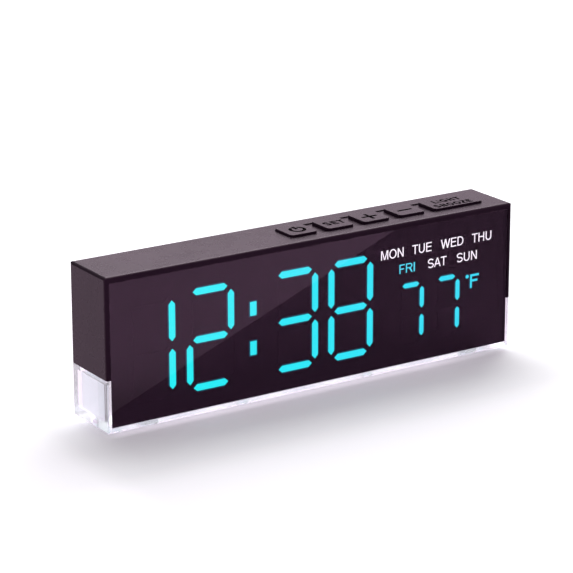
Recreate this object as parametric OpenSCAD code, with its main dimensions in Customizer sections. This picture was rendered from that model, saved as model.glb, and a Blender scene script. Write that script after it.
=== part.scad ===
// Digital alarm clock: a black upper case on a clear base that glows as a night light,
// a full-width glossy front over a segment display, and five keys along the top.
// The front faces -Y, X runs along the clock, Z is up and the feet stand on z = 0.
// All lengths are in millimetres.

/* [Case] */
// Width of the case
body_w = 160; // [158:1:200]
// Depth of the case, front to back
body_d = 23; // [23:0.5:32]
// Height of the two shells together, without feet and keys
body_h = 52; // [52:0.5:70]
// Height of the clear base, up to the joint with the upper case
base_h = 18; // [17:0.5:19]
// Radius of the outer edges
edge_r = 1; // [0.4:0.1:1.4]
// Wall of both shells
wall_t = 2.2; // [1.8:0.1:2.4]
// Thickness of the clear floor
floor_t = 3.4; // [3:0.1:3.8]
// Width of the ledge that the front panel is taped to
ledge_w = 1.6; // [1.4:0.1:2]
// Depth of that ledge, front to back
ledge_t = 1.5; // [1:0.1:2]
// Thickness of the lip that locates the two shells
lip_t = 0.9; // [0.7:0.1:1.1]
// Height of the lip above the joint
lip_h = 1.2; // [0.8:0.1:1.4]

/* [Front panel] */
// Thickness of the front panel
panel_t = 1.5; // [1:0.1:2]
// How far the panel lies behind the front edge of the case
panel_sink = 0.2; // [0.1:0.05:0.5]
// Rim of the case left and right of the panel
rim_side = 1.6; // [1.2:0.1:2]
// Rim of the case above and below the panel
rim_end = 2; // [1.6:0.1:2.4]
// Thickness of the tape frame behind the panel
tape_t = 0.15; // [0.1:0.05:0.3]
// Width of the tape frame
tape_w = 1.2; // [0.8:0.1:1.3]

/* [Display] */
// Room between the panel and the mask film
film_room = 0.2; // [0.1:0.05:0.3]
// Thickness of the mask film
film_t = 0.3; // [0.2:0.05:0.5]
// Thickness of the reflector block
reflector_t = 4.4; // [3.5:0.1:4.6]
// Thickness of the diffusers that fill the front of the light cells
diffuser_t = 0.6; // [0.4:0.1:1]
// Thickness of every circuit board
board_t = 1.2; // [0.8:0.1:1.6]
// Thickness of a segment of the time
segment_t = 2.75; // [2:0.05:3]
// Distance from a segment's tip to the crossing of the segment lines
segment_gap = 1.2; // [1:0.05:1.6]
// Thickness of a segment of the temperature
small_t = 2.1; // [1.6:0.05:2.3]
// Distance from a small segment's tip to the crossing of the segment lines
small_gap = 1.05; // [0.9:0.05:1.3]
// Room between the side of the panel and the first digit
digit_side = 6.1; // [6:0.1:12]
// Room between the top of the panel and the time
digit_above = 7.1; // [6:0.1:10]
// Room between the time and the bottom of the panel
digit_below = 5.7; // [5:0.1:9]
// Room between two digits
digit_gap = 3.75; // [3:0.05:5]
// Extra room for the colon
colon_room = 10.5; // [9:0.1:12]
// Room between the time and the temperature
block_gap = 9.8; // [8:0.1:14]
// Width of a temperature digit, as a share of a time digit's
small_share = 0.616; // [0.5:0.01:0.65]
// Room between the temperature and the degree mark
unit_gap = 2.5; // [2:0.1:4]
// Room between the letter F and the side of the panel
unit_side = 11.3; // [8:0.1:14]
// Height of the weekday windows
day_h = 3.8; // [3:0.1:4]
// Room between the top of the panel and the weekday windows
day_above = 6.7; // [6:0.1:8]
// Room between the two rows of weekday windows
day_between = 2.25; // [1.5:0.05:3]
// Room between the weekday windows and the temperature
day_below = 3.2; // [2.5:0.1:5]
// Room between the time and the weekday windows
day_gap = 2.5; // [2:0.1:4]
// Room between the weekday windows and the side of the panel
day_side = 5.5; // [5:0.1:8]

/* [Keys] */
// Width of a small key
key_w = 10.4; // [9:0.1:11]
// Width of the wide key
wide_key_w = 20.1; // [18:0.1:22]
// Length of the keys, front to back
key_len = 10.8; // [9:0.1:11]
// Corner radius of the keys
key_r = 2; // [1:0.1:2.5]
// Gap between neighbouring keys
key_gap = 4.2; // [3:0.1:4.6]
// Height of the keys above the case
key_rise = 0.8; // [0.5:0.1:1.5]
// Clearance of a key in its opening
key_play = 0.25; // [0.15:0.05:0.4]
// How far a key travels when it is pressed
key_travel = 0.3; // [0.2:0.05:0.4]
// Depth of the shallow bay that the keys stand in
bay_depth = 0.35; // [0.2:0.05:0.6]
// Distance from the keys to the edge of that bay
bay_margin = 0.5; // [0.4:0.1:1]

/* [Battery] */
// Diameter of the coin cell
cell_d = 20; // [16:0.5:20]
// Thickness of the coin cell
cell_t = 3.2; // [2.5:0.1:3.2]
// Width of the battery door
door_w = 27; // [26:0.5:30]
// Room above and below the battery door, inside the upper case
door_room = 1.9; // [1.5:0.1:3]
// Thickness of the battery door
door_t = 1.1; // [0.9:0.1:1.3]

/* [Base and feet] */
// Diameter of a foot
foot_d = 8; // [6:0.5:9]
// Thickness of a foot
foot_t = 1; // [0.8:0.1:1.4]
// How far a foot stands out below the case
foot_proud = 0.4; // [0.3:0.1:0.6]
// Wall of the light diffuser
trough_t = 1.6; // [1:0.1:2]
// Height of the light diffuser
trough_h = 12.3; // [10:0.1:12.4]

/* [Fasteners] */
// Length of a case screw under its head
case_screw_len = 10; // [8:0.5:12]
// Radius of a case screw's shank
case_screw_r = 1; // [0.8:0.05:1.1]
// Length of a board screw under its head
board_screw_len = 5; // [4:0.5:5.5]
// Radius of a board screw's shank
board_screw_r = 0.9; // [0.7:0.05:1]

/* [Hidden] */
$fn = 48;
// Overlap of solids that are joined, and how far a cut runs past the faces that it opens
eps = 0.05;
over = 1;
case_black = [0.29, 0.25, 0.29];
clear_plastic = [0.87, 0.86, 0.92, 0.45];
panel_black = [0.15, 0.1, 0.15];
lit_cyan = [0.16, 0.94, 1];
unlit_grey = [0.22, 0.2, 0.23];
milky = [0.94, 0.94, 0.98];
board_white = [0.82, 0.8, 0.86];
chip_black = [0.12, 0.12, 0.13];
steel = [0.75, 0.76, 0.78];
brass_pin = [0.85, 0.72, 0.4];

// Planes of the case
half_w = body_w / 2;
front_y = -body_d / 2;
back_y = body_d / 2;
in_x = half_w - wall_t;
in_back = back_y - wall_t;
in_top = body_h - wall_t;
lip_gap = 0.15;
lip_root = 2;

// Stack behind the front, from the panel to the display board
panel_play = 0.1;
panel_y = front_y + panel_sink;
panel_back = panel_y + panel_t;
ledge_y = panel_back + tape_t;
ledge_back = ledge_y + ledge_t;
panel_half = half_w - rim_side;
panel_high = body_h - rim_end;
recess_half = panel_half + panel_play;
recess_low = rim_end - panel_play;
recess_high = panel_high + panel_play;
open_half = recess_half - ledge_w;
open_high = recess_high - ledge_w;
film_y = panel_back + film_room;
film_inset = 0.5;
reflector_y = film_y + film_t;
display_board_y = reflector_y + reflector_t;
display_board_back = display_board_y + board_t;

// Keys and what lies under them
key_row_in = 8.2;
key_y = -0.3;
flange_edge = 0.6;
flange_t = 1;
flange_room = 0.1;
post_r = 2;
post_h = 1;
flange_top = in_top - flange_room;
flange_low = flange_top - flange_t;
plunger_top = flange_low - post_h;
plunger_rise = 0.8;
plunger_len = 2.3;
plunger_r = 1.7;
plunger_play = 0.15;
switch_w = 6;
switch_h = 3.5;
switch_y = 0.3;
plunger_room = 0.1;
switch_top = plunger_top - plunger_rise;
key_board_top = switch_top - switch_h;
key_board_low = key_board_top - board_t;
key_row_right = half_w - key_row_in;
key_pitch = key_w + key_gap;
wide_key_x = key_row_right - wide_key_w / 2;
KEY_X = [
    for (i = [4:-1:1]) wide_key_x - wide_key_w / 2 + key_w / 2 - i * key_pitch,
    wide_key_x
];
KEY_W = [key_w, key_w, key_w, key_w, wide_key_w];
key_row_left = KEY_X[0] - key_w / 2;
legend_depth = 0.2;
legend_stroke = 0.8;
mark_r = 3.2;
power_gap = 2.2;
power_bar = 3.4;

// Boards
display_board_gap = 2.2;
display_board_top = in_top - display_board_gap;
display_board_half = in_x - 2.8;
groove_depth = 0.6;
groove_play = 0.1;
board_room = 0.5;
key_board_tab = 7.4;
key_board_edge = 0.8;
key_board_left = key_row_left - key_board_tab;
key_board_right = key_row_right + key_board_edge;
key_board_front = display_board_back + board_room;
key_board_back = in_back - board_room;
main_board_rise = 0.6;
main_board_inset = 10;
main_board_behind = 1.3;
main_board_low = base_h + main_board_rise;
main_board_top = main_board_low + board_t;
main_board_half = half_w - main_board_inset;
main_board_front = display_board_back + board_room;
main_board_back = in_back - main_board_behind;

// Posts and screws
post_y = 1.8;
end_post_inset = 7;
end_post_x = half_w - end_post_inset;
rib_half = 0.8;
rib_gap = 0.3;
mid_post_x = 25;
CASE_POST_X = [-end_post_x, -mid_post_x, mid_post_x, end_post_x];
case_post_r = 2.5;
base_post_r = 2.8;
case_post_h = 9;
screw_play = 0.1;
hole_play = 0.3;
case_head_r = 1.9;
case_head_h = 1.4;
well_r = case_head_r + 0.2;
grip_t = 6;
well_top = base_h - grip_t;
pilot_room = 0.5;
case_pilot = case_screw_len - grip_t + pilot_room;
board_pilot = board_screw_len - board_t + pilot_room;
// Cross recess in the screw heads
slot_w = 0.5;
slot_depth = 0.5;
slot_len_share = 0.6;
board_head_r = 1.7;
board_head_h = 1.3;
board_post_r = 2;
// Distance from a board's edge to the middle of a screw near it
screw_edge = 2.2;
display_screw_z = display_board_top - screw_edge;
cell_x = -40;
DISPLAY_SCREW_X = [
    2 * screw_edge - display_board_half, cell_x + cell_d / 2,
    (KEY_X[2] + KEY_X[3]) / 2, key_row_right - screw_edge / 2
];
key_screw_y = key_board_back - screw_edge;
KEY_SCREW_X = [
    key_row_left - key_board_tab / 2, (KEY_X[1] + KEY_X[2]) / 2,
    KEY_X[4] - (wide_key_w + key_gap) / 2
];
main_screw_y = main_board_back - screw_edge;
main_post_h = 7;

// Battery
door_h = in_top - base_h - 2 * door_room;
cell_z = (in_top + base_h) / 2;
cell_play = 0.3;
cup_wall = 1.2;
door_play = 0.15;
door_face = back_y - 0.1;
door_back = door_face - door_t;
door_r = 2;
finger_w = 6;
finger_t = 1;
finger_len = 2.2;
finger_play = 0.25;
finger_inset = 0.7;
finger_z = door_h / 2 - finger_inset;
cell_gap = 0.3;
cell_back = door_back - cell_gap;
cell_front = cell_back - cell_t;
cell_rim = 1.3;
cell_crown = 0.3;
nail_r = 4;
nail_depth = 0.8;
nail_h = 5;
contact_t = 0.3;
contact_w = 2.2;
contact_x = 4;
contact_room = 0.8;
contact_play = 0.3;
pad_h = 2;
pad_low = cell_z - 5;
cup_floor = cell_front - contact_room;
cup_front = cup_floor - cup_wall;

// Vents, sound holes and the parts on the boards
vent_w = 8;
vent_h = 1.2;
vent_step = 3;
vent_rise = 4;
vent_first = main_board_top + vent_rise;
sound_hole_r = 0.8;
sound_ring_r = 3;
sound_rise = 6;
sound_z = main_board_top + sound_rise;
usb_w = 8.94;
usb_h = 3.26;
usb_len = 7.3;
usb_play = 0.2;
usb_shell = 0.3;
usb_end = 1;
usb_z = main_board_top + usb_h / 2;
usb_mouth = back_y - 0.3;
tongue_half = 3.3;
tongue_t = 0.7;
tongue_back = 1;
buzzer_x = 12;
buzzer_y = 2.4;
buzzer_r = 4.5;
buzzer_h = 5;
chip_x = -8;
chip_w = 9;
chip_t = 1.4;
crystal_x = -17.5;
crystal_y = -0.5;
crystal_r = 1;
crystal_len = 6;
sensor_x = -68;
sensor_r = 1.3;
sensor_h = 7;
sensor_leg_r = 0.25;
sensor_leg_x = 0.6;
DRIVER_X = [-60, 56];
driver_w = 8;
driver_h = 5;
driver_t = 1.6;
driver_z = (main_board_top + key_board_low - driver_h) / 2;
chip_led_w = 1.6;
chip_led_h = 0.8;
chip_led_t = 0.6;
header_len = 12;
header_w = 2.5;
header_h = 2.5;
main_header_x = 33;
led_w = 5;
led_t = 1.6;
led_inset = 10;
led_reach = main_board_half - led_inset;
LED_X = [for (i = [-1:0.4:1.01]) i * led_reach];
// The main board's screws stand clear of the outer lights, and between the chip and the buzzer.
// The inlet lies beside the last of them.
led_room = 1.8;
main_screw_x = led_reach - led_w / 2 - board_head_r - led_room;
usb_room = 2.5;
usb_x = main_screw_x - board_post_r - usb_room - usb_w / 2;
MAIN_SCREW_X = [-main_screw_x, (chip_x + chip_w / 2 + buzzer_x - buzzer_r) / 2, main_screw_x];

// Light diffuser in the base
trough_room = 0.3;
trough_behind = 2.1;
trough_front = display_board_back + trough_room;
trough_back = in_back - trough_behind;
trough_half = in_x - trough_room;
trough_low = floor_t;

// Feet
foot_in_x = 16;
foot_y = 6.4;
foot_side = 0.1;

// Layout of the display, seen from the front, with heights above the bottom of the case:
// what the named rooms leave of the panel is shared by the digits
f_w = 4;
f_h = 4.9;
f_stroke = 0.85;
f_bar_w = 3.4;
degree_r = 0.6;
f_gap = 0.3;
unit_w = 2 * degree_r + f_gap + f_w;
digit_outer = (2 * panel_half - digit_side - 4 * digit_gap - colon_room - block_gap
    - unit_gap - unit_w - unit_side) / (4 + 2 * small_share);
small_outer = small_share * digit_outer;
digit_w = digit_outer - segment_t;
digit_pitch = digit_outer + digit_gap;
first_digit_x = -panel_half + digit_side + segment_t / 2;
time_right = -panel_half + digit_side + 4 * digit_outer + 3 * digit_gap + colon_room;
small_w = small_outer - small_t;
small_pitch = small_outer + digit_gap;
first_small_x = time_right + block_gap + small_t / 2;
time_top = panel_high - digit_above;
time_low = rim_end + digit_below;
digits_z = (time_top + time_low) / 2;
digit_row = (time_top - time_low - segment_t) / 2;
DAY_Z = [
    panel_high - day_above - day_h / 2,
    panel_high - day_above - 1.5 * day_h - day_between
];
small_top = DAY_Z[1] - day_h / 2 - day_below;
small_lift = 0.6;
small_low = time_low + small_lift;
temperature_z = (small_top + small_low) / 2;
small_row = (small_top - small_low - small_t) / 2;
degree_x = time_right + block_gap + 2 * small_outer + digit_gap + unit_gap + degree_r;
degree_drop = 2.1;
degree_z = small_top - degree_drop;
f_x = degree_x + degree_r + f_gap;
f_rise = 0.5;
f_top = degree_z + f_rise;
f_low = f_top - f_h;
f_bar_rise = 2.2;
f_bar_z = f_low + f_bar_rise;
colon_w = 2.9;
colon_h = 5.2;
colon_share = 0.833;
colon_step = colon_share * digit_row;
// Widths of the weekday windows, whose middles stand evenly between the time and the side
DAY_W = [[10.4, 8.8, 10.6, 9.2], [7.4, 8.4, 9.6]];
day_first = time_right + day_gap + DAY_W[0][0] / 2;
day_last = panel_half - day_side - DAY_W[0][3] / 2;
day_step = (day_last - day_first) / 3;
cell_margin = 0.3;
// Length of a segment's pointed tip, as a share of half its thickness
tip_share = 1.1;
reflector_low = floor_t + 1.2;
reflector_high = display_screw_z - board_head_r - cell_margin;
TIME = [1, 2, 3, 8];
TEMPERATURE = [7, 7];
// Segments a to g of each numeral: top, upper right, lower right, bottom, lower left,
// upper left, middle
SEGMENTS = [
    [1, 1, 1, 1, 1, 1, 0],
    [0, 1, 1, 0, 0, 0, 0],
    [1, 1, 0, 1, 1, 0, 1],
    [1, 1, 1, 1, 0, 0, 1],
    [0, 1, 1, 0, 0, 1, 1],
    [1, 0, 1, 1, 0, 1, 1],
    [1, 0, 1, 1, 1, 1, 1],
    [1, 1, 1, 0, 0, 0, 0],
    [1, 1, 1, 1, 1, 1, 1],
    [1, 1, 1, 1, 0, 1, 1]
];

// Lifts the case by the part of the feet that stands out below it
module on_feet() {
    translate([0, 0, foot_proud]) children();
}

// A rectangle round the origin with round corners
module round_rect(w, h, r) {
    square([w - 2 * r, h], center = true);
    square([w, h - 2 * r], center = true);
    for (sx = [-1, 1], sy = [-1, 1])
        translate([sx * (w / 2 - r), sy * (h / 2 - r)]) circle(r);
}

// A flat outline in X and Z, made solid from depth y to y + t
module upright(y, t) {
    translate([0, y + t, 0]) rotate([90, 0, 0]) linear_extrude(t) children();
}

// A box between two opposite corners
module box(low, high) {
    translate(low) cube(high - low);
}

// The outer form of the two shells together
module outer_block() {
    intersection() {
        linear_extrude(body_h) round_rect(body_w, body_d, edge_r);
        upright(front_y, body_d) translate([0, body_h / 2]) round_rect(body_w, body_h, edge_r);
        translate([-half_w, 0, body_h / 2])
            rotate([90, 0, 90]) linear_extrude(body_w) round_rect(body_d, body_h, edge_r);
    }
}

// The panel's recess, the opening inside its ledge, and the room behind
module hollow() {
    box([-recess_half, front_y - over, recess_low], [recess_half, ledge_y, recess_high]);
    box([-open_half, ledge_y - eps, floor_t], [open_half, ledge_back + eps, open_high]);
    box([-in_x, ledge_back, floor_t], [in_x, in_back, in_top]);
}

// The outline of key number i, grown by edge
module key_outline(i, edge) {
    translate([KEY_X[i], key_y])
        round_rect(KEY_W[i] + 2 * edge, key_len + 2 * edge, key_r + edge);
}

// A blind pilot hole for a screw, down the middle of a post
module pilot(r, depth) {
    translate([0, 0, -eps]) cylinder(r = r + screw_play, h = depth + eps);
}

// A hole with play for a shank or post of radius r, through a board that lies on z = 0
module board_hole(r) {
    translate([0, 0, -over]) cylinder(r = r + hole_play, h = board_t + 2 * over);
}

// Both sides of the clock alike
module both_sides() {
    for (side = [0, 1]) mirror([side, 0, 0]) children();
}

// Screw posts that hang inside the upper case
module upper_posts() {
    for (x = CASE_POST_X) {
        translate([x, post_y, base_h]) cylinder(r = case_post_r, h = case_post_h);
    }
    both_sides() {
        box([end_post_x, post_y - rib_half, base_h + lip_h + rib_gap],
            [in_x + eps, post_y + rib_half, base_h + case_post_h]);
        box([mid_post_x - rib_half, post_y, main_board_top + rib_gap],
            [mid_post_x + rib_half, in_back + eps, base_h + case_post_h]);
    }
    for (x = MAIN_SCREW_X) {
        translate([x, main_screw_y, main_board_top]) cylinder(r = board_post_r, h = main_post_h);
        box([x - rib_half, main_screw_y, main_board_top + rib_gap],
            [x + rib_half, in_back + eps, main_board_top + main_post_h]);
    }
    for (x = KEY_SCREW_X) {
        translate([x, key_screw_y, key_board_top])
            cylinder(r = board_post_r, h = in_top - key_board_top + eps);
        box([x - board_post_r, key_screw_y, key_board_top],
            [x + board_post_r, in_back + eps, in_top + eps]);
    }
    for (x = DISPLAY_SCREW_X) {
        translate([x, display_board_back, display_screw_z])
            rotate([-90, 0, 0]) cylinder(r = board_post_r, h = in_back - display_board_back + eps);
    }
}

// Pilot holes in those posts
module upper_pilots() {
    for (x = CASE_POST_X) {
        translate([x, post_y, base_h]) pilot(case_screw_r, case_pilot);
    }
    for (x = MAIN_SCREW_X) {
        translate([x, main_screw_y, main_board_top]) pilot(board_screw_r, board_pilot);
    }
    for (x = KEY_SCREW_X) {
        translate([x, key_screw_y, key_board_top]) pilot(board_screw_r, board_pilot);
    }
    for (x = DISPLAY_SCREW_X) {
        translate([x, display_board_back, display_screw_z])
            rotate([-90, 0, 0]) pilot(board_screw_r, board_pilot);
    }
}

// The round cup that the coin cell stands in, open to the back
module cell_cup() {
    translate([cell_x, cup_front, cell_z]) rotate([-90, 0, 0])
        cylinder(r = cell_d / 2 + cell_play + cup_wall, h = in_back - cup_front + eps);
}

// The room for the cell, the seat of the door and the slots for the door's fingers
module battery_openings() {
    translate([cell_x, cup_floor, cell_z]) rotate([-90, 0, 0])
        cylinder(r = cell_d / 2 + cell_play, h = back_y - cup_floor + over);
    upright(door_back, back_y - door_back + over)
        translate([cell_x, cell_z])
            round_rect(door_w + 2 * door_play, door_h + 2 * door_play, door_r + door_play);
    for (s = [-1, 1]) {
        translate([cell_x, 0, cell_z + s * finger_z])
            box([-finger_w / 2 - finger_play, door_back - finger_len - finger_play,
                 -finger_t / 2 - finger_play],
                [finger_w / 2 + finger_play, back_y, finger_t / 2 + finger_play]);
    }
    // Hollow for a fingernail at the top of the door
    translate([cell_x, back_y + nail_r - nail_depth, cell_z + door_h / 2])
        cylinder(r = nail_r, h = nail_h, center = true);
    // Slots for the legs of the two contacts
    for (s = [-1, 1]) {
        translate([cell_x + s * contact_x, 0, 0])
            box([-contact_w / 2 - contact_play, cup_floor, main_board_top],
                [contact_w / 2 + contact_play, cup_floor + contact_t + contact_play, cell_z]);
    }
}

// Sound holes for the buzzer and vents for the temperature sensor, in the back
module back_vents() {
    upright(in_back - over, wall_t + 2 * over) {
        translate([buzzer_x, sound_z]) {
            circle(sound_hole_r);
            for (a = [0:60:300]) rotate(a) translate([sound_ring_r, 0]) circle(sound_hole_r);
        }
        for (k = [0:2]) {
            translate([sensor_x, vent_first + k * vent_step])
                round_rect(vent_w, vent_h, vent_h / 2 - eps);
        }
    }
}

// The outline of the inlet, grown by grow
module usb_outline(grow) {
    translate([usb_x, usb_z])
        round_rect(usb_w + 2 * grow, usb_h + 2 * grow, usb_h / 2 + grow - eps);
}

module upper_case() {
    color(case_black) on_feet() difference() {
        union() {
            difference() {
                outer_block();
                hollow();
                box([-body_w, -body_d, -over], [body_w, body_d, base_h]);
            }
            upper_posts();
            cell_cup();
        }
        upper_pilots();
        battery_openings();
        back_vents();
        // Bay and openings of the keys
        translate([0, 0, body_h - bay_depth]) linear_extrude(bay_depth + over)
            translate([(key_row_left + key_row_right) / 2, key_y])
                round_rect(key_row_right - key_row_left + 2 * bay_margin,
                           key_len + 2 * bay_margin, key_r + bay_margin);
        for (i = [0:4]) {
            translate([0, 0, in_top - over])
                linear_extrude(wall_t + 2 * over) key_outline(i, key_play);
        }
        // Opening for the inlet
        upright(in_back - over, wall_t + 2 * over) usb_outline(usb_play);
    }
}

module clear_base() {
    color(clear_plastic) on_feet() difference() {
        union() {
            difference() {
                outer_block();
                hollow();
                box([-body_w, -body_d, base_h], [body_w, body_d, body_h + over]);
            }
            // Locating lip with its root below the joint
            difference() {
                union() {
                    box([-in_x - eps, ledge_back - eps, base_h - lip_root],
                        [in_x + eps, in_back + eps, base_h]);
                    box([-in_x + lip_gap, ledge_back + lip_gap, base_h - eps],
                        [in_x - lip_gap, in_back - lip_gap, base_h + lip_h]);
                }
                box([-in_x + lip_gap + lip_t, front_y, base_h - lip_root - over],
                    [in_x - lip_gap - lip_t, in_back - lip_gap - lip_t, base_h + lip_h + over]);
            }
            for (x = CASE_POST_X) {
                translate([x, post_y, floor_t - eps]) cylinder(r = base_post_r, h = base_h - floor_t + eps);
            }
        }
        // Screw wells and holes
        for (x = CASE_POST_X) {
            translate([x, post_y, -over]) cylinder(r = well_r, h = well_top + over);
            translate([x, post_y, 0]) cylinder(r = case_screw_r + hole_play, h = base_h + over);
        }
        // Seats of the feet
        for (sx = [-1, 1], sy = [-1, 1]) {
            translate([sx * (half_w - foot_in_x), sy * foot_y, -over])
                cylinder(r = foot_d / 2 + foot_side, h = over + foot_t - foot_proud);
        }
        // Groove for the lower edge of the display board
        box([-display_board_half - groove_play, display_board_y - groove_play, floor_t - groove_depth],
            [display_board_half + groove_play, display_board_back + groove_play, floor_t + over]);
    }
}

module front_panel() {
    color(panel_black) on_feet()
        box([-panel_half, panel_y, rim_end], [panel_half, panel_back, panel_high]);
}

module panel_tape() {
    color("white") on_feet() upright(panel_back, tape_t) difference() {
        translate([-panel_half, rim_end])
            square([2 * panel_half, panel_high - rim_end]);
        translate([-panel_half + tape_w, rim_end + tape_w])
            square([2 * (panel_half - tape_w), panel_high - rim_end - 2 * tape_w]);
    }
}

// One segment along X with pointed ends, grown by grow
module segment(long, thick, grow) {
    half = long / 2 + grow;
    side = thick / 2 + grow;
    shoulder = half - side * tip_share;
    polygon([
        [-half, 0], [-shoulder, side], [shoulder, side],
        [half, 0], [shoulder, -side], [-shoulder, -side]
    ]);
}

// The places of a digit's seven segments, from its left column and middle row
module segment_places(w, row) {
    spots = [
        [w / 2, row, 0], [w, row / 2, 90], [w, -row / 2, 90], [w / 2, -row, 0],
        [0, -row / 2, 90], [0, row / 2, 90], [w / 2, 0, 0]
    ];
    for (i = [0:6]) {
        let ($segment = i, $span = spots[i].z == 0 ? w : row)
            translate([spots[i].x, spots[i].y]) rotate(spots[i].z) children();
    }
}

module time_places() {
    for (k = [0:3]) {
        let ($numeral = TIME[k])
            translate([first_digit_x + k * digit_pitch + (k > 1 ? colon_room : 0), digits_z]) children();
    }
}

module temperature_places() {
    for (k = [0:1]) {
        let ($numeral = TEMPERATURE[k])
            translate([first_small_x + k * small_pitch, temperature_z]) children();
    }
}

module colon_places() {
    for (s = [-1, 1]) {
        translate([first_digit_x + digit_pitch + (digit_pitch + colon_room + digit_w) / 2,
                   digits_z + s * colon_step / 2]) children();
    }
}

// The middles of the weekday windows, four above and three below the gaps between them
module day_places() {
    for (row = [0, 1], k = [0:3 - row]) {
        let ($day_w = DAY_W[row][k])
            translate([day_first + (k + row / 2) * day_step, DAY_Z[row]]) children();
    }
}

// The digits' segments that are lit or unlit, grown by grow
module digit_segments(lit, grow) {
    time_places() segment_places(digit_w, digit_row)
        if (SEGMENTS[$numeral][$segment] == lit) segment($span - 2 * segment_gap, segment_t, grow);
    temperature_places() segment_places(small_w, small_row)
        if (SEGMENTS[$numeral][$segment] == lit) segment($span - 2 * small_gap, small_t, grow);
}

// The two marks of the colon, grown by grow
module colon_marks(grow) {
    colon_places() square([colon_w + 2 * grow, colon_h + 2 * grow], center = true);
}

// The degree mark and the letter F
module unit_marks() {
    translate([degree_x, degree_z]) circle(degree_r);
    translate([f_x, f_low]) square([f_stroke, f_h]);
    translate([f_x, f_top - f_stroke]) square([f_w, f_stroke]);
    translate([f_x, f_bar_z]) square([f_bar_w, f_stroke]);
}

// The one light cell behind the degree mark and the letter
module unit_cell() {
    translate([degree_x - degree_r, f_low])
        square([f_x + f_w - degree_x + degree_r, degree_z + degree_r - f_low]);
}

// The weekday windows, grown by grow
module day_windows(grow) {
    day_places() square([$day_w + 2 * grow, day_h + 2 * grow], center = true);
}

// The windows with a light cell of the same outline, grown by grow
module plain_windows(grow) {
    digit_segments(1, grow);
    digit_segments(0, grow);
    colon_marks(grow);
    day_windows(grow);
}

// Everything that shines through the display
module all_windows() {
    plain_windows(0);
    unit_marks();
}

module mask_film() {
    color(chip_black) on_feet() upright(film_y, film_t) difference() {
        translate([-open_half + film_inset, floor_t + film_inset])
            square([2 * (open_half - film_inset), open_high - floor_t - 2 * film_inset]);
        all_windows();
    }
}

module segment_reflector() {
    color(milky) on_feet() difference() {
        box([-display_board_half, reflector_y, reflector_low],
            [display_board_half, display_board_y, reflector_high]);
        upright(reflector_y - over, over + diffuser_t) all_windows();
        upright(reflector_y, reflector_t + over) plain_windows(-cell_margin);
        upright(reflector_y + diffuser_t, reflector_t - diffuser_t + over) unit_cell();
    }
}

module lit_segments() {
    color(lit_cyan) on_feet() upright(reflector_y, diffuser_t) {
        digit_segments(1, 0);
        colon_marks(0);
        unit_marks();
    }
}

module unlit_segments() {
    color(unlit_grey) on_feet() upright(reflector_y, diffuser_t) digit_segments(0, 0);
}

module weekday_windows() {
    color("white") on_feet() upright(reflector_y, diffuser_t) day_windows(0);
}

module display_board() {
    color(board_white) on_feet() difference() {
        box([-display_board_half, display_board_y, floor_t - groove_depth + groove_play],
            [display_board_half, display_board_back, display_board_top]);
        for (x = DISPLAY_SCREW_X) {
            translate([x, display_board_y, display_screw_z])
                rotate([-90, 0, 0]) board_hole(board_screw_r);
        }
    }
}

// One light chip, flat on the front of the display board
module led_chip() {
    square([chip_led_w, chip_led_h], center = true);
}

module display_leds() {
    color("ivory") on_feet() upright(display_board_y - chip_led_t, chip_led_t) {
        time_places() segment_places(digit_w, digit_row) led_chip();
        temperature_places() segment_places(small_w, small_row) led_chip();
        colon_places() led_chip();
        translate([f_x + f_w / 2, f_low + f_h / 2]) led_chip();
        day_places() led_chip();
    }
}

module driver_chips() {
    color(chip_black) on_feet() for (x = DRIVER_X) {
        box([x - driver_w / 2, display_board_back, driver_z],
            [x + driver_w / 2, display_board_back + driver_t, driver_z + driver_h]);
    }
}

module key_board() {
    color(board_white) on_feet() difference() {
        box([key_board_left, key_board_front, key_board_low],
            [key_board_right, key_board_back, key_board_top]);
        for (x = KEY_SCREW_X) {
            translate([x, key_screw_y, key_board_low]) board_hole(board_screw_r);
        }
    }
}

module tact_switches() {
    color(chip_black) on_feet() for (x = KEY_X) {
        translate([x, switch_y, key_board_top]) difference() {
            translate([-switch_w / 2, -switch_w / 2, 0]) cube([switch_w, switch_w, switch_h]);
            translate([0, 0, switch_h + plunger_rise - plunger_len - key_travel - plunger_room])
                cylinder(r = plunger_r + plunger_play, h = plunger_len + over);
        }
    }
}

// Key number i: its cap, the flange that keeps it in the case, and its post
module key_blank(i) {
    translate([0, 0, flange_top - eps])
        linear_extrude(body_h + key_rise - flange_top + eps) key_outline(i, 0);
    translate([0, 0, flange_low]) linear_extrude(flange_t) key_outline(i, flange_edge);
    translate([KEY_X[i], switch_y, plunger_top]) cylinder(r = post_r, h = post_h + eps);
}

// A key with its legend, given as children, sunk in its top
module key(i) {
    color(case_black) on_feet() difference() {
        key_blank(i);
        translate([KEY_X[i], key_y, body_h + key_rise - legend_depth])
            linear_extrude(legend_depth + over) children();
    }
}

// A ring that is open at the back, with a stroke through the opening
module power_mark() {
    difference() {
        circle(mark_r);
        circle(mark_r - legend_stroke);
        translate([-power_gap / 2, 0]) square([power_gap, mark_r + over]);
    }
    translate([-legend_stroke / 2, 0]) square([legend_stroke, power_bar]);
}

module minus_mark() {
    square([2 * mark_r, legend_stroke], center = true);
}

module key_power() {
    key(0) power_mark();
}

module key_set() {
    color(case_black) on_feet() key_blank(1);
}

module key_plus() {
    key(2) {
        minus_mark();
        rotate(90) minus_mark();
    }
}

module key_minus() {
    key(3) minus_mark();
}

module key_snooze() {
    color(case_black) on_feet() key_blank(4);
}

// The plunger of the switch under key number i
module plunger(i) {
    color("ivory") on_feet() translate([KEY_X[i], switch_y, plunger_top - plunger_len])
        cylinder(r = plunger_r, h = plunger_len);
}

module plunger_power() {
    plunger(0);
}

module plunger_set() {
    plunger(1);
}

module plunger_plus() {
    plunger(2);
}

module plunger_minus() {
    plunger(3);
}

module plunger_snooze() {
    plunger(4);
}

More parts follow.
